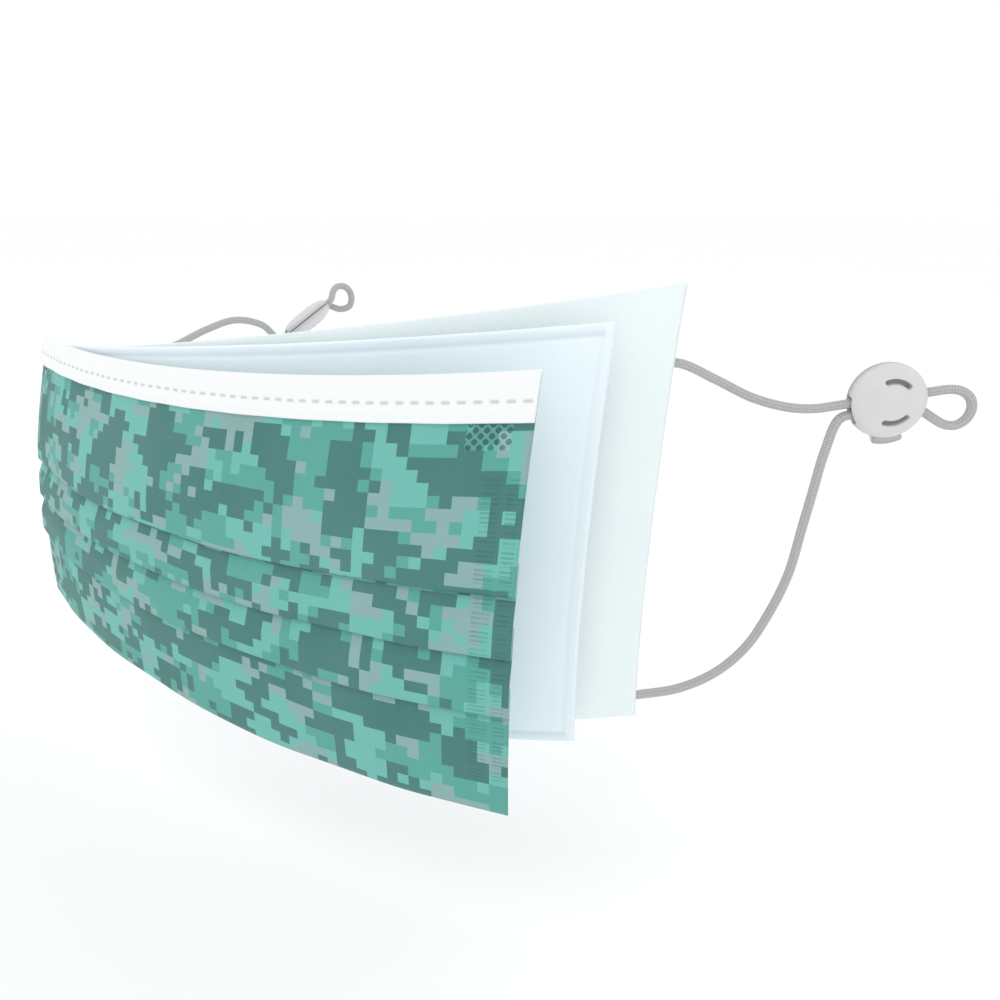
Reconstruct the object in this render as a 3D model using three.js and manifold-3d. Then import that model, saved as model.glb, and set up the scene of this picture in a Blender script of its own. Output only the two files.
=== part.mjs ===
// Three-ply pleated face mask, opened like a fan so that every ply shows.
// Millimetres, +Z up. The printed face looks along -Y and the wearer's face is on the +Y side.
import * as THREE from 'three';
import { mergeVertices } from 'three/addons/utils/BufferGeometryUtils.js';
import Module from 'manifold-3d';

// Driving dimensions
const GAP = 0.3; // clearance between pieces that touch
const PLY_WIDTH = 175; // cut width of every ply, measured along its arc
const PLY_DROP = 95; // nominal height that the profiles below are drawn for
const SHEET_WALL = 1.0;
const FILTER_WALL = 1.4;
const BOW_DEPTH = 9.2; // how far the top edge leans back towards the face
const BOW_TOP = 47.5; // height at which the bow reaches that depth
const BOW_LEVEL = -27; // height at which the plies stand upright
const BAND_DROP = 8.9; // visible height of the nose band
const FLAT_BELOW_BAND = 2; // the printed sheet starts to swell this far below the band
const PLEAT_UNDERLAP = 6.5; // cloth folded up behind each pleat
const PLEAT_RAMP_END = 1.2; // the panel lies fully proud this far above the underlap
const CORD_DIAMETER = 2.2;
const CORD_SIDES = 8;
const CORD_STEPS = 40;
const ARC_STEPS = 18; // facets along a ply
const DROP_STEP = 7; // longest facet down a ply

// Distance of each pleat's fold below the top edge
const PLEAT_FOLDS = [43.2, 56.5, 69.8];

// inset: where the left edge is tacked, along the ply in front. sag: dip of the top edge's middle, at the nose.
// The rest are corner heights.
const FAN = {
  outer: { inset: 0, sweep: 36, sag: 3, topLeft: 40.1, topRight: 47.5, bottomLeft: -42.5, bottomRight: -47.5 },
  filter: { inset: 7.5, sweep: 51, sag: 0, topLeft: 39, topRight: 55, bottomLeft: -41, bottomRight: -43 },
  inner: { inset: 14, sweep: 57, sag: 0, topLeft: 39, topRight: 62, bottomLeft: -41, bottomRight: -43 },
};

// Cord lock, drawn about its own axis: x along the strands, y through the disc, z across
const LOCK = { radius: 8.9, crown: 3.6, back: 3.1, shoulder: 1.1, recessRadius: 7.3, recessDepth: 1.55 };
const LOCK_DOME = [
  { reach: 0, rise: 1 },
  { reach: 0.56, rise: 0.93 },
  { reach: 0.84, rise: 0.68 },
];
const LOCK_SLOT = { radius: 4.9, width: 1.1, sweep: 64, centres: [80, -74] };
const LOCK_MOUTHS = [
  { from: -10, to: -4, low: -5.7, high: 0.9 },
  { from: 4, to: 10, low: -4.2, high: 3.4 },
];
const LOCK_TAB = { left: -1.6, right: 4.4, low: -10.6, high: -7.9, thickness: 2.0 };
const LOCK_SEGMENTS = 28;
const SLOT_SEGMENTS = 8;

// Where each lock sits and how it is turned, in degrees
const LOCK_PLACES = {
  right: { x: 137.5, y: 95.5, z: 35.6, heading: 33, pitch: 0, roll: 0, loopTwist: 0 },
  left: { x: -38.1, y: 86.6, z: 42.5, heading: 76, pitch: 30, roll: 66, loopTwist: -70 },
};

// The cord through a lock and round its end loop, as [along, across] in the lock's own frame
const LOCK_ROUTE = [
  [-11.5, -1.5], [-6, -0.5], [0, 0.5], [6, 1.4], [10.5, 2.1], [13.8, 2.6], [16.6, 2.3], [18.9, 0.7],
  [19.7, -1.8], [18.9, -4.3], [16.7, -5.9], [14, -5.7], [11.2, -4.2], [8.6, -2.6], [6, -1.7],
  [0, -2.3], [-6, -3.4], [-10, -4.6],
];
const LOOP_TWIST_START = 10;
const LOOP_TWIST_END = 16;

// Ends of each cord on the inner ply's face side: [distance from its left edge, lift off the sheet]
const SEAT = CORD_DIAMETER / 2 + 1.5 * GAP;
const CORDS = {
  right: {
    upperLevel: 44,
    lowerLevel: -38.5,
    weld: [[PLY_WIDTH - 9, SEAT], [PLY_WIDTH - 4, SEAT], [PLY_WIDTH + 2.5, SEAT]],
    upper: [[104, 75.2, 39.9], [111.9, 79, 35.8], [119, 82.8, 33.8], [124, 86.2, 33.5]],
    lower: [
      [127.2, 88.3, 23.4], [125.9, 87, 13], [124.8, 86, 4], [123.3, 84.6, -8], [120.6, 82, -18],
      [116.7, 78.4, -27.4], [111.4, 73.4, -33.8], [104.6, 66.8, -37.4],
    ],
  },
  left: {
    upperLevel: 35,
    lowerLevel: -35,
    weld: [[1, SEAT], [5, SEAT], [9, SEAT + 0.2], [12.6, 3.4], [14.7, 8.5]],
    upper: [[-50.3, 32, 36.4], [-49.2, 42, 38.8], [-47.1, 51, 42.2], [-44.6, 61, 44.4], [-42.2, 70, 42]],
    lower: [
      [-42.6, 76.5, 28], [-43.6, 72.5, 18], [-45, 67, 6], [-46.6, 59, -7], [-48.2, 48, -20], [-49.6, 36, -29],
    ],
  },
};

const radians = THREE.MathUtils.degToRad;
const wasm = await Module();
wasm.setup();

// An arc seen from above, walked from left to right along a ply's face side
class PlanArc {
  constructor(x, y, heading, sweep) {
    Object.assign(this, { x, y, heading, curl: sweep / PLY_WIDTH });
  }

  at(along) {
    const heading = this.heading + this.curl * along;
    return {
      x: this.x + (Math.sin(heading) - Math.sin(this.heading)) / this.curl,
      y: this.y - (Math.cos(heading) - Math.cos(this.heading)) / this.curl,
      heading,
    };
  }

  // The arc of a ply tacked behind this one, starting parallel to it
  behind({ inset, sweep }, wall) {
    const { x, y, heading } = this.at(inset);
    const back = GAP + wall;
    return new PlanArc(x - Math.sin(heading) * back, y + Math.cos(heading) * back, heading, radians(sweep));
  }
}

const outerSweep = radians(FAN.outer.sweep);
const outerRadius = PLY_WIDTH / outerSweep;
const outerArc = new PlanArc(
  -outerRadius * Math.sin(outerSweep / 2),
  outerRadius * (1 - Math.cos(outerSweep / 2)),
  -outerSweep / 2,
  outerSweep,
);
const filterArc = outerArc.behind(FAN.filter, FILTER_WALL);
const innerArc = filterArc.behind(FAN.inner, SHEET_WALL);

// The plies lean back towards the face above BOW_LEVEL
function bow(z) {
  return BOW_DEPTH * ((z - BOW_LEVEL) / (BOW_TOP - BOW_LEVEL)) ** 2;
}

// A point at a distance along a ply and a depth in front of its face side, at height z
function onPly(arc, along, depth, z) {
  const { x, y, heading } = arc.at(along);
  return new THREE.Vector3(x + Math.sin(heading) * depth, y - Math.cos(heading) * depth + bow(z), z);
}

// Height of a nominal drop below the top edge, at a distance along a ply
function heightAt(edges, along, drop) {
  const share = along / PLY_WIDTH;
  const dip = 4 * edges.sag * share * (1 - share);
  const top = THREE.MathUtils.lerp(edges.topLeft, edges.topRight, share) - dip;
  const bottom = THREE.MathUtils.lerp(edges.bottomLeft, edges.bottomRight, share);
  return THREE.MathUtils.lerp(top, bottom, drop / PLY_DROP);
}

// Splits the long stretches of a path so that the wall can follow the bow
function splitPath(path) {
  const points = [path[0]];
  for (let i = 1; i < path.length; i += 1) {
    const count = Math.ceil(path[i].distanceTo(path[i - 1]) / DROP_STEP);
    for (let k = 1; k <= count; k += 1) points.push(path[i - 1].clone().lerp(path[i], k / count));
  }
  return points;
}

// One side of a wall drawn along its middle line, with mitred corners
function offsetSide(path, distance) {
  return path.map((point, i) => {
    const before = point.clone().sub(path[Math.max(i - 1, 0)]).normalize();
    const after = path[Math.min(i + 1, path.length - 1)].clone().sub(point).normalize();
    const first = before.lengthSq() ? before : after;
    const second = after.lengthSq() ? after : before;
    const across = new THREE.Vector2(-first.y - second.y, first.x + second.x).normalize();
    const stretch = across.dot(new THREE.Vector2(-first.y, first.x));
    return point.clone().addScaledVector(across, distance / stretch);
  });
}

// Closed outline of a wall of even thickness, as (drop, depth) points
function wallOutline(rows, wall) {
  const path = splitPath(rows.map(([drop, depth]) => new THREE.Vector2(drop, depth)));
  const outline = [...offsetSide(path, wall / 2), ...offsetSide(path, -wall / 2).reverse()];
  return THREE.ShapeUtils.isClockWise(outline) ? outline.reverse() : outline;
}

// A closed solid swept along a ply: the outline at every station, and a cap across the wall at each end
function sweepAlongPly(outline, arc, edges) {
  const positions = [];
  const indices = [];
  const count = outline.length;
  for (let station = 0; station <= ARC_STEPS; station += 1) {
    const along = (PLY_WIDTH * station) / ARC_STEPS;
    for (const { x: drop, y: depth } of outline) {
      positions.push(...onPly(arc, along, depth, heightAt(edges, along, drop)));
    }
  }
  for (let station = 0; station < ARC_STEPS; station += 1) {
    for (let i = 0; i < count; i += 1) {
      const a = station * count + i;
      const b = station * count + ((i + 1) % count);
      indices.push(a, a + count, b, b, a + count, b + count);
    }
  }
  const last = ARC_STEPS * count;
  for (let i = 0; i + 1 < count / 2; i += 1) {
    const [a, b, c, d] = [i, i + 1, count - 2 - i, count - 1 - i];
    indices.push(a, b, c, a, c, d, last + a, last + c, last + b, last + a, last + d, last + c);
  }
  const geometry = new THREE.BufferGeometry();
  geometry.setAttribute('position', new THREE.Float32BufferAttribute(positions, 3));
  geometry.setIndex(indices);
  return geometry;
}

// Middle line of the pleated ply: each fold stands two layers proud of the panel under it
function pleatRows() {
  const layer = SHEET_WALL + GAP;
  const [under, middle, proud] = [0, 1, 2].map((k) => SHEET_WALL / 2 + k * layer);
  const half = SHEET_WALL / 2;
  const rows = [[0, under]];
  let flatUntil = BAND_DROP + FLAT_BELOW_BAND;
  for (const fold of PLEAT_FOLDS) {
    const turn = fold - half;
    const tuck = fold - PLEAT_UNDERLAP;
    rows.push([flatUntil, under], [tuck - PLEAT_RAMP_END, proud], [turn, proud], [turn, middle]);
    rows.push([tuck, middle], [tuck, under]);
    flatUntil = fold + SHEET_WALL;
  }
  rows.push([PLY_DROP, under]);
  return rows;
}

// An L of cloth over the top edge and down the printed face
function bandRows() {
  const front = SHEET_WALL * 1.5 + GAP;
  const over = -GAP - SHEET_WALL / 2;
  return [[over, 0], [over, front], [BAND_DROP, front]];
}

function flatRows(wall) {
  return [[0, wall / 2], [PLY_DROP, wall / 2]];
}

// Booleans
function solidOf(geometry) {
  const bare = geometry.clone();
  bare.deleteAttribute('normal');
  bare.deleteAttribute('uv');
  const merged = mergeVertices(bare, 1e-4);
  return new wasm.Manifold(new wasm.Mesh({
    numProp: 3,
    vertProperties: new Float32Array(merged.attributes.position.array),
    triVerts: new Uint32Array(merged.index.array),
  }));
}

function geometryOf(solid) {
  const { vertProperties, triVerts } = solid.getMesh();
  const geometry = new THREE.BufferGeometry();
  geometry.setAttribute('position', new THREE.BufferAttribute(vertProperties, 3));
  geometry.setIndex(new THREE.BufferAttribute(triVerts, 1));
  return geometry;
}

// A box between two corners
function block(low, high) {
  const size = high.clone().sub(low);
  const middle = low.clone().add(high).multiplyScalar(0.5);
  return new THREE.BoxGeometry(size.x, size.y, size.z).translate(middle.x, middle.y, middle.z);
}

// One half of a lock: a domed disc with a recess for the strands. side is -1 for the cap, 1 for the base.
function lockShell(side, crown) {
  const { radius, shoulder, recessRadius, recessDepth } = LOCK;
  const face = GAP / 2;
  const dome = LOCK_DOME.map(({ reach, rise }) => [radius * reach, crown * rise]);
  const profile = [
    ...dome, [radius, shoulder], [radius, face],
    [recessRadius, face], [recessRadius, recessDepth], [0, recessDepth],
  ].map(([r, y]) => new THREE.Vector2(r, y * side));
  const points = side > 0 ? profile.reverse() : profile;
  let shell = solidOf(new THREE.LatheGeometry(points, LOCK_SEGMENTS));
  for (const { from, to, low, high } of LOCK_MOUTHS) {
    const depths = [0, recessDepth * side].sort((a, b) => a - b);
    const cut = block(new THREE.Vector3(from, depths[0], low), new THREE.Vector3(to, depths[1], high));
    shell = shell.subtract(solidOf(cut));
  }
  return shell;
}

// A curved slot cut through the cap, about an angle in degrees
function slotCutter(centre) {
  const { radius, width, sweep } = LOCK_SLOT;
  const shape = new THREE.Shape();
  const [start, end] = [radians(centre - sweep / 2), radians(centre + sweep / 2)];
  shape.absarc(0, 0, radius + width / 2, start, end, false);
  shape.absarc(0, 0, radius - width / 2, end, start, true);
  const depth = LOCK.crown * 2;
  const settings = { depth, bevelEnabled: false, curveSegments: SLOT_SEGMENTS };
  const cutter = new THREE.ExtrudeGeometry(shape, settings);
  return solidOf(cutter.rotateX(Math.PI / 2).translate(0, -LOCK.recessDepth / 2, 0));
}

function lockCapGeometry() {
  let cap = lockShell(-1, LOCK.crown);
  for (const centre of LOCK_SLOT.centres) cap = cap.subtract(slotCutter(centre));
  return geometryOf(cap);
}

function lockBaseGeometry() {
  const { left, right, low, high, thickness } = LOCK_TAB;
  const face = GAP / 2;
  const tab = block(new THREE.Vector3(left, face, low), new THREE.Vector3(right, face + thickness, high));
  return geometryOf(lockShell(1, LOCK.back).add(solidOf(tab)));
}

// The lock's own frame, turned about the strands, then lifted, then headed
function lockFrame({ x, y, z, heading, pitch, roll }) {
  const group = new THREE.Group();
  group.position.set(x, y, z);
  group.rotation.set(radians(roll), radians(-pitch), radians(heading), 'ZYX');
  group.updateMatrix();
  return group;
}

// The whole cord: welded end, upper strand, lock and end loop, lower strand, welded end
function cordCurve(side) {
  const { upperLevel, lowerLevel, weld, upper, lower } = CORDS[side];
  const { loopTwist } = LOCK_PLACES[side];
  const { matrix } = lockFrame(LOCK_PLACES[side]);
  const welded = (level) => weld.map(([along, lift]) => onPly(innerArc, along, -lift, level));
  const vector = (row) => new THREE.Vector3(...row);
  const through = LOCK_ROUTE.map(([along, across]) => {
    const share = THREE.MathUtils.smoothstep(along, LOOP_TWIST_START, LOOP_TWIST_END);
    const point = new THREE.Vector3(along, 0, across);
    return point.applyAxisAngle(new THREE.Vector3(1, 0, 0), radians(loopTwist) * share).applyMatrix4(matrix);
  });
  const points = [
    ...welded(upperLevel), ...upper.map(vector), ...through,
    ...lower.map(vector), ...welded(lowerLevel).reverse(),
  ];
  return new THREE.CatmullRomCurve3(points, false, 'centripetal');
}

function cordGeometry(side) {
  const section = new THREE.Shape();
  for (let i = 0; i < CORD_SIDES; i += 1) {
    const angle = (2 * Math.PI * (i + 0.5)) / CORD_SIDES;
    const method = i ? 'lineTo' : 'moveTo';
    section[method]((CORD_DIAMETER / 2) * Math.cos(angle), (CORD_DIAMETER / 2) * Math.sin(angle));
  }
  section.closePath();
  const extrudePath = cordCurve(side);
  return new THREE.ExtrudeGeometry(section, { steps: CORD_STEPS, extrudePath, bevelEnabled: false });
}

// Materials
const finish = (color, roughness) => new THREE.MeshStandardMaterial({ color, roughness, metalness: 0 });

function piece(name, geometry, material) {
  const mesh = new THREE.Mesh(geometry, material);
  mesh.name = name;
  return mesh;
}

// Assembly, moved so that the origin is where the face meets the middle of the inner ply
const mask = new THREE.Group();
const pleated = wallOutline(pleatRows(), SHEET_WALL);
const band = wallOutline(bandRows(), SHEET_WALL);
const filter = wallOutline(flatRows(FILTER_WALL), FILTER_WALL);
const inner = wallOutline(flatRows(SHEET_WALL), SHEET_WALL);
mask.add(
  piece('outer_ply', sweepAlongPly(pleated, outerArc, FAN.outer), finish(0x66b3a9, 0.85)),
  piece('nose_band', sweepAlongPly(band, outerArc, FAN.outer), finish(0xf4f6f7, 0.85)),
  piece('filter_ply', sweepAlongPly(filter, filterArc, FAN.filter), finish(0xe6f1f8, 0.9)),
  piece('inner_ply', sweepAlongPly(inner, innerArc, FAN.inner), finish(0xe8f6f3, 0.9)),
);
for (const side of ['right', 'left']) {
  const lock = lockFrame(LOCK_PLACES[side]);
  lock.add(
    piece(`lock_cap_${side}`, lockCapGeometry(), finish(0xe6e6e6, 0.45)),
    piece(`lock_base_${side}`, lockBaseGeometry(), finish(0xdedede, 0.45)),
  );
  mask.add(lock, piece(`ear_cord_${side}`, cordGeometry(side), finish(0xb9b9b9, 0.8)));
}
mask.position.copy(onPly(innerArc, PLY_WIDTH / 2, 0, 0)).negate();

export default mask;
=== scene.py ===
import bpy
import numpy as np
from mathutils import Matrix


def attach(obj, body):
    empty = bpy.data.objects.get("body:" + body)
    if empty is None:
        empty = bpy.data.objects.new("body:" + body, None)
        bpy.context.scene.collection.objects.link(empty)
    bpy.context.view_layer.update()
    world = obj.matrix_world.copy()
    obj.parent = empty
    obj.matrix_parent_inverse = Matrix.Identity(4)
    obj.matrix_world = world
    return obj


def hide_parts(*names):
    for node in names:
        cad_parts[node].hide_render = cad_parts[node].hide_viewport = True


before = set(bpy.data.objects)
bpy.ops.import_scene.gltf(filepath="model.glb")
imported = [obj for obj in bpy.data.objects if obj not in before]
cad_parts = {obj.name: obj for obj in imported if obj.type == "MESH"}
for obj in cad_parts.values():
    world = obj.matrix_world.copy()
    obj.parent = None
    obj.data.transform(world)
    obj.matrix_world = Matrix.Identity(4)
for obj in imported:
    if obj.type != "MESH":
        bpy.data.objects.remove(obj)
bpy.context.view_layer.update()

MM = 0.001


# Camera, light and floor
# The mask is shown in the air, as a face would hold it, a little from above and from its right-hand side.
# Everything around it is white, with broad soft light from the front and a weaker one behind.
CAMERA_PLACE = np.array([134.63, -126.96, 77.0]) * MM
CAMERA_YAW = 35.0
CAMERA_PITCH = 15.75
CAMERA_LENS = 28.8
CAMERA_SENSOR = 36.0
CAMERA_NEAR = 5 * MM
CAMERA_SHIFT = (0.06, -0.06)
FLOOR_LEVEL = -75 * MM
FLOOR_REACH = 40.0
SOFTBOXES = [
    # name, place in metres, size in metres, watts, aim in metres
    ("front_softbox", (-0.35, -0.75, 0.75), 0.9, 1.3, (0.0, 0.0, 0.0)),
    ("side_softbox", (0.95, -0.05, 0.55), 0.6, 0.5, (0.05, 0.03, 0.0)),
    ("back_softbox", (0.1, 0.95, 0.7), 0.8, 0.5, (0.0, 0.0, 0.0)),
]

camera_data = bpy.data.cameras.new("camera")
camera_data.sensor_width = CAMERA_SENSOR
camera_data.lens = CAMERA_LENS
camera_data.shift_x, camera_data.shift_y = CAMERA_SHIFT
camera_data.clip_start = CAMERA_NEAR
camera = bpy.data.objects.new("camera", camera_data)
camera.location = CAMERA_PLACE
camera.rotation_euler = np.radians([90.0 - CAMERA_PITCH, 0.0, CAMERA_YAW])
bpy.context.scene.collection.objects.link(camera)
bpy.context.scene.camera = camera
bpy.context.scene.view_settings.view_transform = "Standard"

world = bpy.data.worlds.new("white_surround")
world.use_nodes = True
world.node_tree.nodes["Background"].inputs["Color"].default_value = (1.0, 1.0, 1.0, 1.0)
world.node_tree.nodes["Background"].inputs["Strength"].default_value = 1.0
bpy.context.scene.world = world


def aim(place, target):
    """The turn that points a lamp's own -Z from its place to its target: tilt from straight down, then
    heading."""
    offset = np.subtract(target, place)
    tilt = np.arctan2(np.hypot(offset[0], offset[1]), -offset[2])
    return (tilt, 0.0, np.arctan2(-offset[0], offset[1]))


for name, place, size, watts, target in SOFTBOXES:
    lamp_data = bpy.data.lights.new(name, "AREA")
    lamp_data.size = size
    lamp_data.energy = watts
    lamp = bpy.data.objects.new(name, lamp_data)
    lamp.location = place
    lamp.rotation_euler = aim(place, target)
    bpy.context.scene.collection.objects.link(lamp)


class Signal:
    """One socket of a finish. Arithmetic and comparison on it add Math nodes to the finish."""

    def __init__(self, finish, socket):
        self.finish = finish
        self.socket = socket

    def _math(self, operation, *values):
        return self.finish.node("ShaderNodeMath", {"operation": operation}, dict(enumerate(values)))

    def __add__(self, other):
        return self._math("ADD", self, other)

    def __sub__(self, other):
        return self._math("SUBTRACT", self, other)

    def __mul__(self, other):
        return self._math("MULTIPLY", self, other)

    def __truediv__(self, other):
        return self._math("DIVIDE", self, other)

    def __gt__(self, other):
        return self._math("GREATER_THAN", self, other)

    def __lt__(self, other):
        return self._math("LESS_THAN", self, other)

    def __rsub__(self, other):
        return self._math("SUBTRACT", other, self)

    __radd__ = __add__
    __rmul__ = __mul__

    def floor(self):
        return self._math("FLOOR", self)

    def fraction(self):
        return self._math("FRACT", self)

    def sine(self):
        return self._math("SINE", self)

    def size(self):
        return self._math("ABSOLUTE", self)

    def between(self, low, high):
        return (self > low) * (self < high)


class Finish:
    """A material with one Principled shader. Sockets that are the same all over are set by name at the
    start."""

    def __init__(self, name, **constants):
        self.material = bpy.data.materials.new(name)
        self.material.use_nodes = True
        self.tree = self.material.node_tree
        self.shader = self.tree.nodes["Principled BSDF"]
        for socket, value in constants.items():
            self.shader.inputs[socket.replace("_", " ")].default_value = value

    def node(self, kind, settings, inputs, output=0):
        """Adds a node: its type, its settings, then the values or links of its sockets, by name or number."""
        made = self.tree.nodes.new(kind)
        for key, value in settings.items():
            setattr(made, key, value)
        for key, value in inputs.items():
            if isinstance(value, Signal):
                self.tree.links.new(value.socket, made.inputs[key])
            else:
                made.inputs[key].default_value = value
        return Signal(self, made.outputs[output])

    def object_place(self):
        return self.node("ShaderNodeTexCoord", {}, {}, "Object")

    def attribute(self, name):
        return self.node("ShaderNodeAttribute", {"attribute_name": name}, {}, "Fac")

    def cloth_place(self):
        """Distance along the cloth and down the cloth, in metres, from the piece's own UV map."""
        place = self.node("ShaderNodeUVMap", {"uv_map": "cloth"}, {})
        return [self.node("ShaderNodeSeparateXYZ", {}, {0: place}, axis) for axis in ("X", "Y")]

    def noise(self, place, scale, detail=2.0, roughness=0.5):
        inputs = {"Vector": place, "Scale": scale, "Detail": detail, "Roughness": roughness}
        return self.node("ShaderNodeTexNoise", {}, inputs, "Fac")

    def blend(self, factor, first, second):
        """Mixes two colours, each a colour's link or a red, green, blue triple."""
        sockets = {0: factor}
        for number, colour in ((6, first), (7, second)):
            sockets[number] = colour if isinstance(colour, Signal) else (*colour, 1.0)
        return self.node("ShaderNodeMix", {"data_type": "RGBA"}, sockets, 2)

    def feed(self, socket, signal):
        self.tree.links.new(signal.socket, self.shader.inputs[socket])

    def relief(self, height, strength, depth):
        """A Bump node on the Normal socket, with its height in the range 0 to 1 and its depth in metres."""
        inputs = {"Height": height, "Strength": strength, "Distance": depth}
        self.feed("Normal", self.node("ShaderNodeBump", {}, inputs))


def srgb(red, green, blue):
    """A colour read as 0 to 255 screen values, turned to the linear values that shaders take."""
    value = np.array([red, green, blue]) / 255
    return tuple(np.where(value <= 0.04045, value / 12.92, ((value + 0.055) / 1.055) ** 2.4))


floor_mesh = bpy.data.meshes.new("floor")
corners = [(-1, -1), (1, -1), (1, 1), (-1, 1)]
floor_points = [(x * FLOOR_REACH, y * FLOOR_REACH, FLOOR_LEVEL) for x, y in corners]
floor_mesh.from_pydata(floor_points, [], [(0, 1, 2, 3)])
floor = bpy.data.objects.new("floor", floor_mesh)
bpy.context.scene.collection.objects.link(floor)
floor_finish = Finish("floor_paper", Roughness=0.95, Specular_IOR_Level=0.1)
floor_tone = floor_finish.noise(floor_finish.object_place(), 2.0)
floor_finish.feed("Base Color", floor_finish.blend(floor_tone, (0.99, 0.99, 0.99), (1.0, 1.0, 1.0)))
floor_mesh.materials.append(floor_finish.material)


# The fan
# All three plies are cut to the same width. Each is tacked by its left edge to the back of the one in front
# and curls a little more than it, so that they open to the right. All lean back towards the face at the top.
PLY_WIDTH = 175 * MM
PLY_DROP = 95 * MM
GAP = 0.3 * MM
SHEET_ROOM = 1.0 * MM
FILTER_ROOM = 1.4 * MM
BOW_DEPTH = 9.2 * MM
BOW_TOP = 47.5 * MM
BOW_LEVEL = -27 * MM
# inset along the ply in front, sweep in degrees, dip of the top edge at the nose, heights of the four corners
FAN = {
    "outer": dict(inset=0, sweep=36, sag=3, top=(40.1, 47.5), bottom=(-42.5, -47.5)),
    "filter": dict(inset=7.5, sweep=51, sag=0, top=(39, 55), bottom=(-41, -43)),
    "inner": dict(inset=14, sweep=57, sag=0, top=(39, 62), bottom=(-41, -43)),
}


def walk(arc, along):
    """A point on a circular arc seen from above: the heading grows evenly with the distance walked."""
    heading = arc["heading"] + arc["curl"] * along
    x = arc["x"] + (np.sin(heading) - np.sin(arc["heading"])) / arc["curl"]
    y = arc["y"] - (np.cos(heading) - np.cos(arc["heading"])) / arc["curl"]
    return x, y, heading


def arc_behind(arc, name, room):
    """The arc of a ply tacked behind another: it starts at the inset, parallel to that ply and a wall
    behind it."""
    x, y, heading = walk(arc, FAN[name]["inset"] * MM)
    back = GAP + room
    curl = np.radians(FAN[name]["sweep"]) / PLY_WIDTH
    return dict(x=x - np.sin(heading) * back, y=y + np.cos(heading) * back, heading=heading, curl=curl)


def bow(z):
    """Lean of the plies towards the face: it grows with the square of the height above or below one level."""
    return BOW_DEPTH * ((z - BOW_LEVEL) / (BOW_TOP - BOW_LEVEL)) ** 2


half_sweep = np.radians(FAN["outer"]["sweep"]) / 2
outer_radius = PLY_WIDTH / (2 * half_sweep)
outer_arc = dict(
    x=-outer_radius * np.sin(half_sweep),
    y=outer_radius * (1 - np.cos(half_sweep)),
    heading=-half_sweep,
    curl=1 / outer_radius,
)
filter_arc = arc_behind(outer_arc, "filter", FILTER_ROOM)
inner_arc = arc_behind(filter_arc, "inner", SHEET_ROOM)
seat_x, seat_y, _ = walk(inner_arc, PLY_WIDTH / 2)
SEAT_POINT = np.array([seat_x, seat_y + bow(0.0), 0.0])


def on_ply(arc, along, depth, z):
    """Points at a distance along a ply, a depth in front of its arc, and a height, from the seat point."""
    x, y, heading = walk(arc, along)
    point = [x + np.sin(heading) * depth, y - np.cos(heading) * depth + bow(z), z + 0 * x]
    return np.stack(np.broadcast_arrays(*point), axis=-1) - SEAT_POINT


def height_at(name, along, drop):
    """Height of a drop below the top edge, between the four corner heights of a ply. The top edge dips as a
    parabola in its middle."""
    share = along / PLY_WIDTH
    dip = 4 * FAN[name]["sag"] * share * (1 - share)
    top = (np.interp(share, [0, 1], FAN[name]["top"]) - dip) * MM
    bottom = np.interp(share, [0, 1], FAN[name]["bottom"]) * MM
    return top + (bottom - top) * drop / PLY_DROP


def smooth_step(value, low, high):
    """0 below low, 1 above high, and a cubic ease between them."""
    share = np.clip((value - low) / (high - low), 0, 1)
    return share * share * (3 - 2 * share)


def resample(path, count, crowding=0.0):
    """A path of (drop, depth) rows cut anew into count points, closer together where the path turns."""
    step = np.hypot(*np.diff(path, axis=0).T)
    turn = np.unwrap(np.arctan2(*np.gradient(path, axis=0).T[::-1]))
    weight = step + crowding * np.abs(np.diff(turn))
    ruler = np.concatenate([[0], np.cumsum(weight)])
    marks = np.linspace(0, ruler[-1], count)
    return np.stack([np.interp(marks, ruler, path[:, axis]) for axis in (0, 1)], axis=-1)


def wall_outline(path, wall):
    """The closed outline of a wall about its middle line: the front side offset by half the wall along the
    line's normal, the back side by minus half. The ends are drawn in to a round hem.
    Returns drop, depth, the distance along the cloth, and 1 on the front side or 0 on the back."""
    tangent = np.gradient(path, axis=0)
    tangent /= np.hypot(*tangent.T)[:, None]
    normal = np.stack([-tangent[:, 1], tangent[:, 0]], axis=-1)
    run = np.concatenate([[0], np.cumsum(np.hypot(*np.diff(path, axis=0).T))])
    to_end = np.minimum(run, run[-1] - run)
    half = wall / 2 * np.sqrt(1 - (1 - np.clip(to_end / (wall / 2), 0.04, 1)) ** 2)
    front = path + normal * half[:, None]
    back = path - normal * half[:, None]
    outline = np.concatenate([front, back[::-1]])
    cloth = np.concatenate([run, run[::-1]])
    face = np.repeat([1.0, 0.0], len(path))
    return outline[:, 0], outline[:, 1], cloth, face


def hem_marks(path_length, wall):
    """Extra sampling distances close to both ends of a wall, where the hem is round."""
    near = wall / 2 * np.array([0.04, 0.2, 0.5, 1.0])
    return np.concatenate([near, path_length - near])


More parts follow.
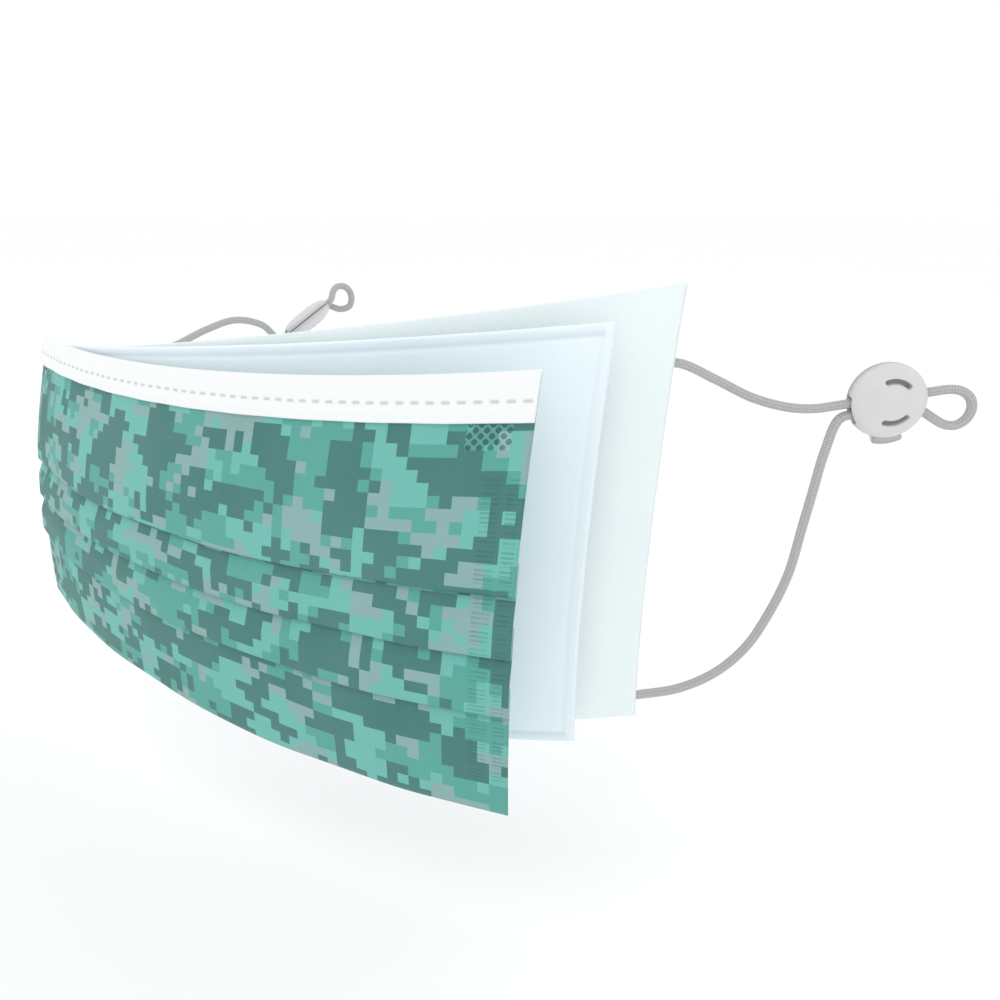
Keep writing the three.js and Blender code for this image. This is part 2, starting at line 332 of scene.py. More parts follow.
def ply_mesh(name, points, along, cloth, **attributes):
    """Points [station, outline, xyz] become quads between stations, with quads across the wall at both ends.
    The UV map holds the distances along and down the cloth, and attributes are values at the points."""
    stations, count = points.shape[:2]
    index = np.arange(stations * count).reshape(stations, count)
    ahead = np.roll(index, -1, axis=1)
    sides = np.stack([index[:-1], ahead[:-1], ahead[1:], index[1:]], axis=-1).reshape(-1, 4)
    row = np.arange(count // 2 - 1)
    cap = np.stack([row, row + 1, count - 2 - row, count - 1 - row], axis=-1)
    faces = np.concatenate([sides, index[0][cap][:, ::-1], index[-1][cap]])
    mesh = bpy.data.meshes.new(name)
    mesh.from_pydata(points.reshape(-1, 3), [], faces)
    mesh.polygons.foreach_set("use_smooth", np.ones(len(faces), bool))
    place = np.stack(np.broadcast_arrays(along[:, None], cloth[None, :]), axis=-1).reshape(-1, 2)
    layer = mesh.uv_layers.new(name="cloth")
    layer.data.foreach_set("uv", place[faces.ravel()].ravel().astype(np.float32))
    for key, value in attributes.items():
        stored = mesh.attributes.new(key, "FLOAT", "POINT")
        stored.data.foreach_set("value", np.broadcast_to(value, (stations, count)).ravel().astype(np.float32))
    mesh.update()
    piece = bpy.data.objects.new(name, mesh)
    bpy.context.scene.collection.objects.link(piece)
    return piece


# Outer ply
# A printed spunbond sheet with three pleats pressed in, their folds facing down. The pleats are held at both
# side edges by two columns of short weld bars, and the corners under the band by cross-hatched spot welds.
OUTER_WALL = 0.42 * MM
PLEAT_FOLDS = np.array([43.2, 56.5, 69.8]) * MM
PLEAT_UNDERLAP = 6.5 * MM
PLEAT_LAYERS = np.array([0.32, 0.95, 1.6]) * MM
FOLD_ROUNDING = 0.28 * MM
# how far below each fold the painted shade fades out
CREASE_REACH = 0.8 * MM
PANEL_SWELL = 0.9 * MM
BAND_DROP = 8.9 * MM
OUTER_STATIONS = 230
OUTER_ROWS = 150
WELD_PITCH = 0.95 * MM
PRINT_CELL = 2.63 * MM
PRINT_DARK = srgb(62, 116, 112)
PRINT_LIGHT = srgb(106, 182, 172)
PRINT_MID = srgb(82, 160, 149)
PRINT_GREY = srgb(134, 169, 167)
PRINT_WORN = srgb(168, 214, 207)
HATCH_TINT = srgb(134, 206, 196)
WELD_TINT = srgb(42, 96, 92)
# colour of the painted shade under each pleat's fold
CREASE_TINT = srgb(36, 84, 80)
BACK_TINT = srgb(190, 226, 220)


def pleat_path():
    """Middle line of the pleated sheet. Each panel rises to the top layer, turns back under itself at its
    fold, runs up behind as the underlap, turns again and goes on down in the bottom layer. The corners are
    then rounded by a running mean along the line."""
    under, middle, proud = PLEAT_LAYERS
    rows = [(0.0, under)]
    flat_until = BAND_DROP + 2 * MM
    for fold in PLEAT_FOLDS:
        tuck = fold - PLEAT_UNDERLAP
        rows += [(flat_until, under), (tuck - 1 * MM, proud), (fold, proud), (fold, middle)]
        rows += [(tuck, middle), (tuck, under)]
        flat_until = fold + 1 * MM
    rows = np.array(rows + [(PLY_DROP, under)])
    ruler = np.concatenate([[0], np.cumsum(np.hypot(*np.diff(rows, axis=0).T))])
    fine_step = 0.04 * MM
    marks = np.arange(0, ruler[-1], fine_step)
    line = np.stack([np.interp(marks, ruler, rows[:, axis]) for axis in (0, 1)], axis=-1)
    reach = int(round(FOLD_ROUNDING / fine_step))
    for _ in range(2):
        padded = np.pad(line, ((reach, reach), (0, 0)), mode="reflect", reflect_type="odd")
        total = np.concatenate([[[0, 0]], np.cumsum(padded, axis=0)])
        line = (total[2 * reach + 1:] - total[:-2 * reach - 1]) / (2 * reach + 1)
    return line


def cloth_swell(along, drop):
    """Soft unevenness of a handled sheet, always outwards: three slow waves across it, fading out at the
    band and at the welded side edges."""
    across = 2 * np.pi * along / PLY_WIDTH
    down = 2 * np.pi * drop / PLY_DROP
    wave = 0.5 + 0.22 * np.sin(1.7 * across + 1.1 * down + 0.4)
    wave += 0.16 * np.sin(3.1 * across - 1.9 * down + 2.0) + 0.12 * np.sin(5.3 * across + 2.7 * down)
    side = smooth_step(np.minimum(along, PLY_WIDTH - along), 3 * MM, 26 * MM)
    return PANEL_SWELL * wave * side * smooth_step(drop, BAND_DROP + 1 * MM, BAND_DROP + 16 * MM)


outer_path = resample(pleat_path(), OUTER_ROWS, 0.55 * MM)
drop, depth, cloth, face = wall_outline(outer_path, OUTER_WALL)
along = np.linspace(0, PLY_WIDTH, OUTER_STATIONS)
station = along[:, None]
swell = cloth_swell(station, drop[None, :])
fold_wander = 0.25 * MM * np.sin(2 * np.pi * station / (PLY_WIDTH * 0.41) + 9 * drop[None, :] / PLY_DROP)
fold_wander = fold_wander * smooth_step(drop[None, :], BAND_DROP, 2 * BAND_DROP)
fold_wander = fold_wander * smooth_step(PLY_DROP - drop[None, :], 1 * MM, 8 * MM)
outer_height = height_at("outer", station, drop[None, :] + fold_wander)
outer_points = on_ply(outer_arc, station, depth[None, :] + swell, outer_height)
# Painted shade: a dark band on the face side of the sheet just under each pleat's fold, fading downwards,
# where the fold above shades the panel below
crease = np.zeros_like(drop)
for fold in PLEAT_FOLDS:
    in_tuck = (drop > fold - PLEAT_UNDERLAP) & (depth < PLEAT_LAYERS[:2].mean())
    crease = np.maximum(crease, in_tuck * np.exp(-np.maximum(drop - fold, 0) / CREASE_REACH))
outer_ply = ply_mesh(
    "outer_ply_cloth", outer_points, along, cloth, face=face[None, :], crease=(crease * face)[None, :])


def spunbond(finish, along, down, pitch):
    """The pattern of small pressed dots in spunbond cloth: a product of two sines on a grid turned 45
    degrees, with loose fibres over it as fine noise. The result is a height near 0.5."""
    first = ((along + down) * (2 * np.pi / pitch)).sine()
    second = ((along - down) * (2 * np.pi / pitch)).sine()
    fibre = finish.noise(finish.object_place(), 2600.0, 3.0, 0.6)
    return first * second * 0.22 + fibre * 0.6 + 0.2


def weld_bars(along, down):
    """Short bars pressed across both side edges in two columns, three bars and a blank in turn. The result
    is 1 on a bar."""
    bars = (down / WELD_PITCH).fraction() < 0.45
    bars = bars * ((down / (4 * WELD_PITCH)).fraction() < 0.78)
    bars = bars * down.between(20 * MM, 128 * MM)
    columns = along.between(0.9 * MM, 3.5 * MM) + along.between(4.9 * MM, 8.6 * MM)
    return bars * columns


def spot_weld(along, down):
    """A cross-hatched patch close under the band: diamonds where two slanted sines are both far from zero,
    within a rectangle. The results are 1 on a diamond, and 1 on the bare lines between the diamonds."""
    pitch = 4.6 * MM
    first = ((along + down) * (2 * np.pi / pitch)).sine()
    second = ((along - down) * (2 * np.pi / pitch)).sine()
    patch = along.between(4.0 * MM, 13.4 * MM) * down.between(BAND_DROP + 0.3 * MM, BAND_DROP + 5.4 * MM)
    diamond = (first.size() * second.size() > 0.4) * patch
    return diamond, patch - diamond


printed = Finish("printed_spunbond", Roughness=0.86, Specular_IOR_Level=0.25, Sheen_Weight=0.12)
cloth_along, cloth_down = printed.cloth_place()
cell_along = (cloth_along / PRINT_CELL).floor()
cell_down = (cloth_down / PRINT_CELL).floor()


def print_layer(seed, scale, share, ragged):
    """One ink of the print: slow noise sampled once for each square cell, roughened by a random value for
    the cell, and cut at a level. The result is 1 where the ink lies."""
    cell = printed.node("ShaderNodeCombineXYZ", {}, {0: cell_along, 1: cell_down, 2: seed})
    chance = printed.node("ShaderNodeTexWhiteNoise", {"noise_dimensions": "3D"}, {"Vector": cell}, "Value")
    slow = printed.noise(cell, scale, 1.0, 0.6)
    return (slow + (chance - 0.5) * ragged) > share


ink = printed.blend(print_layer(3.3, 0.19, 0.49, 0.13), PRINT_LIGHT, PRINT_MID)
ink = printed.blend(print_layer(17.7, 0.24, 0.565, 0.13), ink, PRINT_GREY)
ink = printed.blend(print_layer(41.1, 0.22, 0.525, 0.14), ink, PRINT_DARK)
edge_along = PLY_WIDTH / 2 - (cloth_along - PLY_WIDTH / 2).size()
diamond, hatch = spot_weld(edge_along, cloth_down)
patchy = printed.noise(printed.object_place(), 330.0, 2.0)
bars = weld_bars(edge_along, cloth_down) * patchy * 0.85
weld = bars + diamond
fade = printed.noise(printed.object_place(), 45.0, 3.0) * 0.14
ink = printed.blend(fade, ink, PRINT_WORN)
ink = printed.blend(hatch * 0.3, ink, HATCH_TINT)
ink = printed.blend(weld * 0.6, ink, WELD_TINT)
# painted shade under the pleat folds, darkening the print where each fold overhangs the panel below
ink = printed.blend(printed.attribute("crease") * 0.55, ink, CREASE_TINT)
on_face = printed.attribute("face")
printed.feed("Base Color", printed.blend(0.7 - on_face * 0.7, ink, BACK_TINT))
cloth_height = spunbond(printed, cloth_along, cloth_down, 1.5 * MM)
printed.relief(cloth_height - weld * 0.6, 0.55, 0.25 * MM)
printed.feed("Roughness", 0.82 + cloth_height * 0.12)
outer_ply.data.materials.append(printed.material)
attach(outer_ply, "root")
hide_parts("outer_ply")


# Nose band
# A strip of white non-woven folded over the top edge of the outer ply, with the nose wire inside it.
# A row of short pressed stitches closes it, and the wire shows as a low ridge under them.
BAND_WALL = 0.45 * MM
BAND_FRONT = 1.0 * MM
BAND_STATIONS = 620
BAND_ROWS = 46
STITCH_DROP = 4.7 * MM
STITCH_PITCH = 3.3 * MM
STITCH_LENGTH = 2.0 * MM
STITCH_HEIGHT = 0.8 * MM
STITCH_DEPTH = 0.2 * MM
WIRE_DROP = 6.7 * MM
WIRE_SWELL = 0.32 * MM
PUCKER = 0.12 * MM
PUCKER_LENGTH = 17 * MM

over = -GAP - SHEET_ROOM / 2
band_rows = np.array([(over, 0.1 * MM), (over, BAND_FRONT - 0.5 * MM), (over + 0.5 * MM, BAND_FRONT)])
band_rows = np.concatenate([band_rows, [(BAND_DROP, BAND_FRONT)]])
band_path = resample(resample(band_rows, 400), BAND_ROWS, 0.6 * MM)
drop, depth, cloth, face = wall_outline(band_path, BAND_WALL)
along = np.linspace(0, PLY_WIDTH, BAND_STATIONS)
station = along[:, None]
front = face[None, :] * smooth_step(drop[None, :], 0.5 * MM, 2 * MM)
phase = (station / STITCH_PITCH) % 1 - 0.5
from_stitch = np.hypot(
    np.maximum(np.abs(phase) * STITCH_PITCH - (STITCH_LENGTH - STITCH_HEIGHT) / 2, 0),
    drop[None, :] - STITCH_DROP,
)
stitch = front * (1 - smooth_step(from_stitch, 0.2 * STITCH_HEIGHT, 0.62 * STITCH_HEIGHT))
wire = front * np.exp(-((drop[None, :] - WIRE_DROP) / (1.1 * MM)) ** 2)
pucker = PUCKER * front * np.sin(2 * np.pi * station / PUCKER_LENGTH)
pucker = pucker * smooth_step(drop[None, :], 1 * MM, 6 * MM)
band_depth = depth[None, :] + WIRE_SWELL * wire - STITCH_DEPTH * stitch + pucker
band_points = on_ply(outer_arc, station, band_depth, height_at("outer", station, drop[None, :]))
nose_band = ply_mesh("nose_band_cloth", band_points, along, cloth, stitch=stitch)

band_finish = Finish("white_nonwoven", Roughness=0.9, Specular_IOR_Level=0.2, Sheen_Weight=0.1)
band_along, band_down = band_finish.cloth_place()
band_height = spunbond(band_finish, band_along, band_down, 1.3 * MM)
stitched = band_finish.attribute("stitch")
white = band_finish.blend(band_height, srgb(236, 239, 240), srgb(245, 246, 246))
band_finish.feed("Base Color", band_finish.blend(stitched * 0.75, white, srgb(196, 193, 190)))
band_finish.feed("Roughness", 0.94 - stitched * 0.25)
band_finish.relief(band_height, 0.4, 0.2 * MM)
nose_band.data.materials.append(band_finish.material)
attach(nose_band, "root")
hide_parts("nose_band")


# Filter ply
# A plain sheet of melt-blown filter cloth, the thickest of the three and a little padded. Its border is
# pressed flat in a narrow strip close inside the edge, and painted shade darkens that line.
FILTER_WALL = 1.15 * MM
FILTER_STATIONS = 210
FILTER_ROWS = 110
FILTER_WAVE = 0.25 * MM
BORDER_LINE = 2.2 * MM
BORDER_WIDTH = 0.55 * MM
BORDER_DEPTH = 0.3 * MM


def flat_ply(room, wall, stations, rows, waviness):
    """The outline of a flat ply in the middle of the room that it has, with two slow waves in its depth that
    fade out towards its tacked left edge. Returns the stations, as a row and as a column, and the outline's
    drop, depth, distance along the cloth and front side."""
    ends = hem_marks(PLY_DROP, wall)
    marks = np.sort(np.concatenate([[0, PLY_DROP], ends, np.linspace(2 * wall, PLY_DROP - 2 * wall, rows)]))
    path = np.stack([marks, np.full_like(marks, room / 2)], axis=-1)
    drop, depth, cloth, face = wall_outline(path, wall)
    along = np.linspace(0, PLY_WIDTH, stations)
    station = along[:, None]
    free = smooth_step(station, 40 * MM, 130 * MM)
    wave = np.sin(2 * np.pi * (station / (83 * MM) + drop[None, :] / (120 * MM)))
    wave = wave + 0.5 * np.sin(2 * np.pi * (station / (47 * MM) - drop[None, :] / (70 * MM)) + 1.0)
    return along, station, drop, depth[None, :] + waviness * wave * free, cloth, face


def border_groove(station, drop):
    """How deep the pressed line lies at a point: a bell curve of the distance to a line inside the border."""
    to_edge = np.minimum(np.minimum(station, PLY_WIDTH - station), np.minimum(drop, PLY_DROP - drop))
    return np.exp(-((to_edge - BORDER_LINE) / (BORDER_WIDTH / 2)) ** 2)


along, station, drop, depth, cloth, face = flat_ply(
    FILTER_ROOM, FILTER_WALL, FILTER_STATIONS, FILTER_ROWS, FILTER_WAVE)
groove = border_groove(station, drop[None, :])
side = 2 * face[None, :] - 1
filter_points = on_ply(
    filter_arc, station, depth - side * BORDER_DEPTH * groove, height_at("filter", station, drop[None, :]))
filter_ply = ply_mesh("filter_ply_cloth", filter_points, along, cloth, groove=groove)

filter_finish = Finish("meltblown_filter", Roughness=0.92, Specular_IOR_Level=0.2, Sheen_Weight=0.1)
fluff = filter_finish.noise(filter_finish.object_place(), 900.0, 4.0, 0.65)
clouds = filter_finish.noise(filter_finish.object_place(), 60.0, 3.0)
pale = filter_finish.blend(clouds, srgb(230, 243, 250), srgb(238, 248, 253))
# painted shade along the pressed border line: the groove is darkened to a blue grey
pressed = filter_finish.attribute("groove")
filter_finish.feed("Base Color", filter_finish.blend(pressed * 0.5, pale, srgb(186, 202, 216)))
filter_finish.feed("Roughness", 0.85 + fluff * 0.12)
filter_finish.relief(fluff, 0.35, 0.25 * MM)
filter_ply.data.materials.append(filter_finish.material)
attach(filter_ply, "root")
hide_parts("filter_ply")


# Inner ply
# A thin plain spunbond sheet, the one that lies against the face. The ends of the ear cords are welded to
# its back, close to its side edges.
INNER_WALL = 0.6 * MM
INNER_STATIONS = 210
INNER_ROWS = 110
INNER_WAVE = 0.2 * MM

along, station, drop, depth, cloth, face = flat_ply(
    SHEET_ROOM, INNER_WALL, INNER_STATIONS, INNER_ROWS, INNER_WAVE)
inner_points = on_ply(inner_arc, station, depth, height_at("inner", station, drop[None, :]))
inner_ply = ply_mesh("inner_ply_cloth", inner_points, along, cloth)

inner_finish = Finish("mint_spunbond", Roughness=0.9, Specular_IOR_Level=0.2, Sheen_Weight=0.1)
inner_along, inner_down = inner_finish.cloth_place()
inner_height = spunbond(inner_finish, inner_along, inner_down, 1.4 * MM)
mint_clouds = inner_finish.noise(inner_finish.object_place(), 50.0, 3.0)
mint = inner_finish.blend(mint_clouds, srgb(229, 241, 242), srgb(237, 246, 247))
inner_finish.feed("Base Color", mint)
inner_finish.feed("Roughness", 0.84 + inner_height * 0.12)
inner_finish.relief(inner_height, 0.4, 0.2 * MM)
inner_ply.data.materials.append(inner_finish.material)
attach(inner_ply, "root")
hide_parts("inner_ply")


# Cord locks
# Each lock is two moulded half shells that clip together round both strands of a cord: a front cap with two
# curved slots and a back half with a small thumb tab at its rim. Mouths at both ends let the strands through.
LOCK_RADIUS = 8.9 * MM
LOCK_CROWN = 3.6 * MM
LOCK_BACK = 3.1 * MM
LOCK_FACE = 0.12 * MM
LOCK_RECESS_RADIUS = 7.3 * MM
LOCK_RECESS = 1.5 * MM
LOCK_ROUNDNESS = 2.7
# how far from the seam between the halves the painted shade reaches
PARTING_REACH = 1.7 * MM
SLOT_RADIUS = 4.9 * MM
SLOT_HALF_WIDTH = 0.62 * MM
SLOT_DEPTH = 1.5 * MM
SLOT_HALF_SWEEP = np.radians(30)
SLOT_CENTRES = np.radians([80, -74])
# direction along the strands, lowest and highest place across them
LOCK_MOUTHS = [(-1, -5.7 * MM, 0.9 * MM), (1, -4.2 * MM, 3.4 * MM)]
TAB_SPAN = (-1.6 * MM, 4.4 * MM)
TAB_REACH = 1.75 * MM
TAB_HEIGHT = 2.0 * MM
LOCK_TURNS = 240
# heading, pitch and roll in degrees, and the middle of the lock before the seat point is taken off
LOCK_PLACES = {
    "right": dict(middle=(137.5, 95.5, 35.6), heading=33, pitch=0, roll=0, loop_twist=0),
    "left": dict(middle=(-38.1, 86.6, 42.5), heading=76, pitch=30, roll=66, loop_twist=-70),
}


def turn(axis, degrees):
    """The matrix of a right-hand turn about one axis, 0 for x, 1 for y, 2 for z."""
    cosine, sine = np.cos(np.radians(degrees)), np.sin(np.radians(degrees))
    matrix = np.eye(3)
    first, second = [(1, 2), (2, 0), (0, 1)][axis]
    matrix[first, first] = matrix[second, second] = cosine
    matrix[first, second], matrix[second, first] = -sine, sine
    return matrix


def place_on_lock(side, points):
    """Points in a lock's own frame, rolled about the strands, then pitched, then headed, then moved to it."""
    spot = LOCK_PLACES[side]
    matrix = turn(2, spot["heading"]) @ turn(1, -spot["pitch"]) @ turn(0, spot["roll"])
    return points @ matrix.T + np.array(spot["middle"]) * MM - SEAT_POINT


def half_shell(crown, front):
    """One half of a lock as rings about its axis. The outside follows a superellipse from the crown to the
    rim. The face where the halves meet lifts to the recess where a mouth crosses the rim, and the inside is a
    flat recess. On the front half the slots press the outside in, and on the back half the tab pushes its rim
    out. Returns points [ring, turn, (along, through, across)], how deep the slots lie there, and how near the
    seam between the halves is, both 0 to 1. The finish paints both as shade, and the hidden inside as fully
    shaded."""
    angle = np.linspace(0, 2 * np.pi, LOCK_TURNS, endpoint=False)[None, :]
    mouth = np.zeros_like(angle)
    for direction, low, high in LOCK_MOUTHS:
        across = LOCK_RADIUS * np.sin(angle)
        ease = 0.35 * MM
        inside = smooth_step(across, low - ease, low + ease)
        inside = inside * (1 - smooth_step(across, high - ease, high + ease))
        mouth = mouth + inside * (direction * np.cos(angle) > 0)
    rim = LOCK_FACE + (LOCK_RECESS - LOCK_FACE) * mouth
    fall = np.linspace(0, 1, 64)[:, None]
    level = crown * np.cos(fall * np.pi / 2) ** (2 / LOCK_ROUNDNESS)
    level = rim + (crown - rim) * level / crown
    radius = LOCK_RADIUS * (1 - np.clip(level / crown, 0, 1) ** LOCK_ROUNDNESS) ** (1 / LOCK_ROUNDNESS)
    if not front:
        along = radius * np.cos(angle)
        ease = 0.3 * MM
        span = smooth_step(along, TAB_SPAN[0] - ease, TAB_SPAN[0] + ease)
        span = span * (1 - smooth_step(along, TAB_SPAN[1] - ease, TAB_SPAN[1] + ease)) * (np.sin(angle) < 0)
        radius = radius + TAB_REACH * span * (1 - smooth_step(level, TAB_HEIGHT - ease, TAB_HEIGHT + ease))
    slot = np.zeros_like(radius)
    if front:
        for centre in SLOT_CENTRES:
            off = np.abs((angle - centre + np.pi) % (2 * np.pi) - np.pi)
            past_end = np.maximum(off - SLOT_HALF_SWEEP, 0) * SLOT_RADIUS
            distance = np.hypot(radius - SLOT_RADIUS, past_end)
            slot = np.maximum(slot, 1 - smooth_step(distance, 0.62 * SLOT_HALF_WIDTH, 1.12 * SLOT_HALF_WIDTH))
    outside = np.stack([radius, level - SLOT_DEPTH * slot], axis=-1)
    blank = np.zeros_like(angle)
    inside_rows = [
        (LOCK_RECESS_RADIUS + blank, rim), (LOCK_RECESS_RADIUS + blank, LOCK_RECESS + blank),
        (LOCK_RECESS_RADIUS / 2 + blank, LOCK_RECESS + blank), (blank, LOCK_RECESS + blank),
    ]
    inside = np.stack([np.concatenate([row[column] for row in inside_rows]) for column in (0, 1)], axis=-1)
    rings = np.concatenate([outside, inside])
    pressed = np.concatenate([slot, np.zeros((len(inside_rows), LOCK_TURNS))])
    # Painted shade: darker towards the seam, where the shell turns away from the light; the hidden inside is
    # fully shaded
    near_parting = 1 - smooth_step(level, 0, PARTING_REACH)
    parting = np.concatenate([near_parting, np.ones((len(inside_rows), LOCK_TURNS))])
    through = rings[..., 1] * (-1 if front else 1)
    points = np.stack([rings[..., 0] * np.cos(angle), through, rings[..., 0] * np.sin(angle)], axis=-1)
    return points, pressed, parting


def ring_mesh(name, points, **attributes):
    """Points [ring, turn, xyz] that start and end on an axis become triangles at both poles and quads
    between the rings, with one point at each pole. The first pole's own side faces out."""
    rings, turns = points.shape[:2]
    body = points[1:-1].reshape(-1, 3)
    vertices = np.concatenate([points[0, :1], body, points[-1, :1]])
    index = 1 + np.arange((rings - 2) * turns).reshape(rings - 2, turns)
    ahead = np.roll(index, -1, axis=1)
    quads = np.stack([index[:-1], index[1:], ahead[1:], ahead[:-1]], axis=-1).reshape(-1, 4)
    last = len(vertices) - 1
    first_fan = np.stack([np.zeros(turns, int), index[0], ahead[0]], axis=-1)
    last_fan = np.stack([np.full(turns, last), ahead[-1], index[-1]], axis=-1)
    mesh = bpy.data.meshes.new(name)
    mesh.from_pydata(vertices, [], [*quads.tolist(), *first_fan.tolist(), *last_fan.tolist()])
    mesh.polygons.foreach_set("use_smooth", np.ones(len(mesh.polygons), bool))
    for key, value in attributes.items():
        stored = mesh.attributes.new(key, "FLOAT", "POINT")
        flat = np.concatenate([value[0, :1], value[1:-1].ravel(), value[-1, :1]])
        stored.data.foreach_set("value", flat.astype(np.float32))
    mesh.update()
    piece = bpy.data.objects.new(name, mesh)
    bpy.context.scene.collection.objects.link(piece)
    return piece


lock_finish = Finish("satin_moulding", Roughness=0.42, Specular_IOR_Level=0.4)
grain = lock_finish.noise(lock_finish.object_place(), 1400.0, 3.0)
handling = lock_finish.noise(lock_finish.object_place(), 220.0, 4.0, 0.6)
moulded = lock_finish.blend(handling, srgb(206, 206, 206), srgb(217, 217, 216))
# painted shade towards the seam between the halves, where the shell turns away from the light
moulded = lock_finish.blend(lock_finish.attribute("parting") * 0.6, moulded, srgb(160, 160, 160))
# painted shade in the slots: their pressed-in floor is darkened to a mid grey
moulded = lock_finish.blend(lock_finish.attribute("slot") * 0.85, moulded, srgb(138, 138, 138))
lock_finish.feed("Base Color", moulded)
lock_finish.feed("Roughness", 0.34 + handling * 0.2)
lock_finish.relief(grain, 0.12, 0.1 * MM)

for side in LOCK_PLACES:
    for half, crown, front in (("cap", LOCK_CROWN, True), ("base", LOCK_BACK, False)):
        # The slot depth and the nearness to the seam go to the mesh as masks of painted shade
        points, pressed, parting = half_shell(crown, front)
        if not front:
            points, pressed, parting = points[:, ::-1], pressed[:, ::-1], parting[:, ::-1]
        placed = place_on_lock(side, points)
        piece = ring_mesh(f"lock_{half}_{side}_shell", placed, slot=pressed, parting=parting)
        piece.data.materials.append(lock_finish.material)
        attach(piece, "root")
        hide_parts(f"lock_{half}_{side}")


# Ear cords
# Round knitted elastic, one length for each ear. Both ends are welded to the back of the inner ply, and both
# strands run through the lock, which leaves a small loop of cord standing out of its far end.
CORD_DIAMETER = 2.2 * MM
CORD_SIDES = 20
CORD_STEP = 0.4 * MM
KNIT_ROW = 0.62 * MM
KNIT_WALES = 9
CORD_SEAT = CORD_DIAMETER / 2 + 1.5 * GAP
EDGE = PLY_WIDTH / MM
# along and across a lock, in its own frame
LOCK_ROUTE = [
    (-11.5, -1.5), (-6, -0.5), (0, 0.5), (6, 1.4), (10.5, 2.1), (13.8, 2.6), (16.6, 2.3), (18.9, 0.7),
    (19.7, -1.8), (18.9, -4.3), (16.7, -5.9), (14, -5.7), (11.2, -4.2), (8.6, -2.6), (6, -1.7),
    (0, -2.3), (-6, -3.4), (-10, -4.6),
]
LOOP_TWIST = (10 * MM, 16 * MM)
# level of each end, distance along the inner ply and lift off it, then the free strands' own points
CORD_ROUTES = {
    "right": dict(
        levels=(44, -38.5),
        weld=[(EDGE - 9, CORD_SEAT / MM), (EDGE - 4, CORD_SEAT / MM), (EDGE + 2.5, CORD_SEAT / MM)],
        upper=[(104, 75.2, 39.9), (111.9, 79, 35.8), (119, 82.8, 33.8), (124, 86.2, 33.5)],
        lower=[
            (127.2, 88.3, 23.4), (125.9, 87, 13), (124.8, 86, 4), (123.3, 84.6, -8), (120.6, 82, -18),
            (116.7, 78.4, -27.4), (111.4, 73.4, -33.8), (104.6, 66.8, -37.4),
        ],
    ),
    "left": dict(
        levels=(35, -35),
        weld=[(1, CORD_SEAT / MM), (5, CORD_SEAT / MM), (9, CORD_SEAT / MM + 0.2), (12.6, 3.4), (14.7, 8.5)],
        upper=[(-50.3, 32, 36.4), (-49.2, 42, 38.8), (-47.1, 51, 42.2), (-44.6, 61, 44.4), (-42.2, 70, 42)],
        lower=[
            (-42.6, 76.5, 28), (-43.6, 72.5, 18), (-45, 67, 6), (-46.6, 59, -7), (-48.2, 48, -20),
            (-49.6, 36, -29),
        ],
    ),
}


def cord_points(side):
    """The points that a cord passes, from one welded end over the lock and its loop to the other."""
    route = CORD_ROUTES[side]
    ends = []
    for level in route["levels"]:
        along, lift = np.array(route["weld"]).T * MM
        ends.append(on_ply(inner_arc, along, -lift, np.full_like(along, level * MM)))
    along, across = np.array(LOCK_ROUTE).T * MM
    twist = np.radians(LOCK_PLACES[side]["loop_twist"]) * smooth_step(along, *LOOP_TWIST)
    through = np.stack([along, -across * np.sin(twist), across * np.cos(twist)], axis=-1)
    free = [np.array(route[strand]) * MM - SEAT_POINT for strand in ("upper", "lower")]
    return np.concatenate([ends[0], free[0], place_on_lock(side, through), free[1], ends[1][::-1]])


def smooth_line(points, step):
    """A centripetal Catmull-Rom curve: between two points a cubic whose slopes come from the points around
    them, timed by the square root of the distances. It is then cut into equal steps."""
    rows = np.concatenate([[2 * points[0] - points[1]], points, [2 * points[-1] - points[-2]]])
    time = np.sqrt(np.linalg.norm(np.diff(rows, axis=0), axis=1))[:, None]
    before, start, end, after = rows[:-3], rows[1:-2], rows[2:-1], rows[3:]
    lead, span, trail = time[:-2], time[1:-1], time[2:]
    leave = ((start - before) / lead - (end - before) / (lead + span) + (end - start) / span) * span
    arrive = ((end - start) / span - (after - start) / (span + trail) + (after - end) / trail) * span
    share = np.linspace(0, 1, 60, endpoint=False)[None, :, None]
    start, end, leave, arrive = (row[:, None, :] for row in (start, end, leave, arrive))
    bend = 3 * (end - start) - 2 * leave - arrive
    twist = 2 * (start - end) + leave + arrive
    fine = (start + leave * share + bend * share**2 + twist * share**3).reshape(-1, 3)
    fine = np.concatenate([fine, points[-1:]])
    ruler = np.concatenate([[0], np.cumsum(np.linalg.norm(np.diff(fine, axis=0), axis=1))])
    marks = np.linspace(0, ruler[-1], int(round(ruler[-1] / step)) + 1)
    return np.stack([np.interp(marks, ruler, fine[:, axis]) for axis in range(3)], axis=-1), ruler[-1]


def carried_frames(line):
    """A pair of directions across the line at each point. Each pair is the one before it, made square to the
    new tangent, so that the tube doesn't twist."""
    tangent = np.gradient(line, axis=0)
    tangent /= np.linalg.norm(tangent, axis=1)[:, None]
    first = np.zeros_like(line)
    aside = np.cross(tangent[0], (0.0, 0.0, 1.0))
    for number, direction in enumerate(tangent):
        aside = aside - direction * (aside @ direction)
        aside /= np.linalg.norm(aside)
        first[number] = aside
    return first, np.cross(tangent, first)


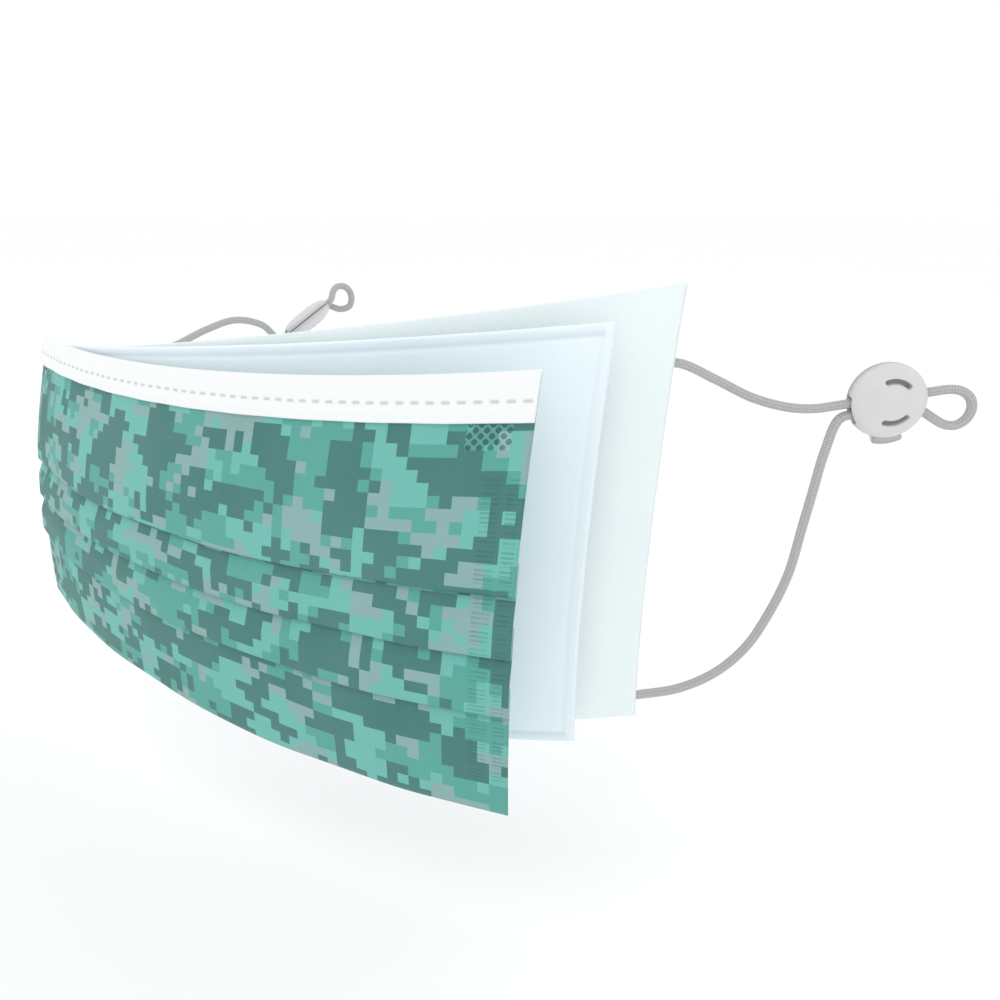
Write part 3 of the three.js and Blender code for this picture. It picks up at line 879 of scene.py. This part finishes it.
def cord_mesh(name, line, length):
    """A round tube about a line, its ends closed by fans. The UV map holds the share of a turn and the
    distance along the cord."""
    first, second = carried_frames(line)
    steps = len(line)
    share = np.arange(CORD_SIDES) / CORD_SIDES
    angle = 2 * np.pi * share[None, :, None]
    ring = np.cos(angle) * first[:, None, :] + np.sin(angle) * second[:, None, :]
    run = np.linspace(0, length, steps)
    tube = line[:, None, :] + ring * CORD_DIAMETER / 2
    vertices = np.concatenate([tube.reshape(-1, 3), line[:1], line[-1:]])
    index = np.arange(steps * CORD_SIDES).reshape(steps, CORD_SIDES)
    ahead = np.roll(index, -1, axis=1)
    quads = np.stack([index[:-1], ahead[:-1], ahead[1:], index[1:]], axis=-1).reshape(-1, 4)
    start, end = len(vertices) - 2, len(vertices) - 1
    start_fan = np.stack([np.full(CORD_SIDES, start), ahead[0], index[0]], axis=-1)
    end_fan = np.stack([np.full(CORD_SIDES, end), index[-1], ahead[-1]], axis=-1)
    mesh = bpy.data.meshes.new(name)
    mesh.from_pydata(vertices, [], [*quads.tolist(), *start_fan.tolist(), *end_fan.tolist()])
    mesh.polygons.foreach_set("use_smooth", np.ones(len(mesh.polygons), bool))
    corner = np.broadcast_to(share[None, :], (steps - 1, CORD_SIDES))
    around = np.stack([corner, corner + 1 / CORD_SIDES, corner + 1 / CORD_SIDES, corner], axis=-1)
    low = np.broadcast_to(run[:-1, None], (steps - 1, CORD_SIDES))
    high = np.broadcast_to(run[1:, None], (steps - 1, CORD_SIDES))
    place = np.stack([around, np.stack([low, low, high, high], axis=-1)], axis=-1).reshape(-1, 2)
    place = np.concatenate([place, np.zeros((6 * CORD_SIDES, 2))])
    layer = mesh.uv_layers.new(name="cloth")
    layer.data.foreach_set("uv", place.ravel().astype(np.float32))
    mesh.update()
    piece = bpy.data.objects.new(name, mesh)
    bpy.context.scene.collection.objects.link(piece)
    return piece


elastic = Finish("knitted_elastic", Roughness=0.85, Specular_IOR_Level=0.25, Sheen_Weight=0.2)
around, along_cord = elastic.cloth_place()
wale = (around * KNIT_WALES).fraction()
chevron = (wale - 0.5).size()
stitches = ((along_cord / KNIT_ROW + chevron) * (2 * np.pi)).sine() * 0.5 + 0.5
furrow = (chevron * 2 > 0.82) * 0.5
fuzz = elastic.noise(elastic.object_place(), 3000.0, 3.0, 0.6)
knit = stitches * 0.6 + fuzz * 0.4 - furrow
# The grey follows the knit's height: painted shade in the furrows and between the stitches, with the fibre
# fuzz as random tone
elastic.feed("Base Color", elastic.blend(knit, srgb(158, 158, 158), srgb(202, 202, 202)))
elastic.feed("Roughness", 0.9 - knit * 0.15)
elastic.relief(knit, 0.5, 0.18 * MM)
for side in CORD_ROUTES:
    line, length = smooth_line(cord_points(side), CORD_STEP)
    cord = cord_mesh(f"ear_cord_{side}_elastic", line, length)
    cord.data.materials.append(elastic.material)
    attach(cord, "root")
    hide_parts(f"ear_cord_{side}")
